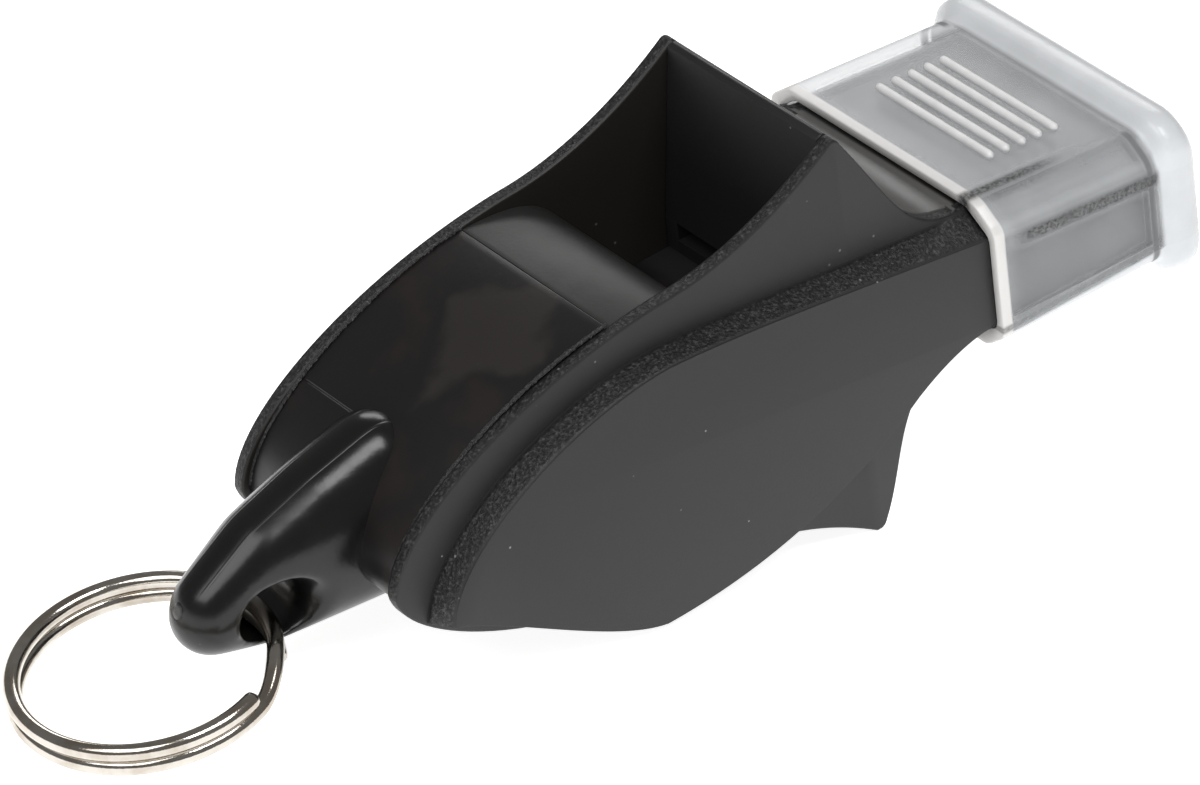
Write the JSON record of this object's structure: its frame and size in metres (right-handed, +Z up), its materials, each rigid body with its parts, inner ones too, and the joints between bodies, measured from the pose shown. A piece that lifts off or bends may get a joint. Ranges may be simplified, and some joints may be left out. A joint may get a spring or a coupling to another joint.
{
  "type": "training whistle",
  "caption": "Pealess sports whistle with curved side fins, leaf-shaped side panels, a soft ribbed mouth cover and a split ring in its lug.",
  "frame": {"origin": "bottom centre of the bounding box, as the whistle lies on its lower fins and its ring", "axes": "+X towards the mouthpiece, +Y to the whistle's left, +Z up; the body's axis is tipped up by 10.5 degrees towards +X"},
  "size_m": [0.0706, 0.02, 0.0254],
  "materials": {
    "core_plastic": "polished black ABS",
    "side_plastic": "fine matte black ABS",
    "cover_rubber": "milky translucent soft plastic",
    "ring_nickel": "nickel-plated steel wire"
  },
  "bodies": {
    "whistle": {"whistle_core": "core_plastic", "right_side": "side_plastic", "left_side": "side_plastic", "upper_lip": "core_plastic", "lower_lip": "core_plastic", "upper_windway_block": "core_plastic", "lower_windway_block": "core_plastic"},
    "cover": {"mouth_cover": "cover_rubber"},
    "ring": {"split_ring": "ring_nickel"}
  },
  "joints": [
    {"name": "cover_slide", "type": "slide", "parent": "whistle", "child": "cover", "axis": [0.994, 0, 0.1096], "range_m": [0, 0.016]},
    {"name": "ring_swing", "type": "hinge", "parent": "whistle", "child": "ring", "pos_m": [-0.02127, 0, 0.00416], "axis": [0, 1, 0], "range_deg": [-80, 90]}
  ]
}
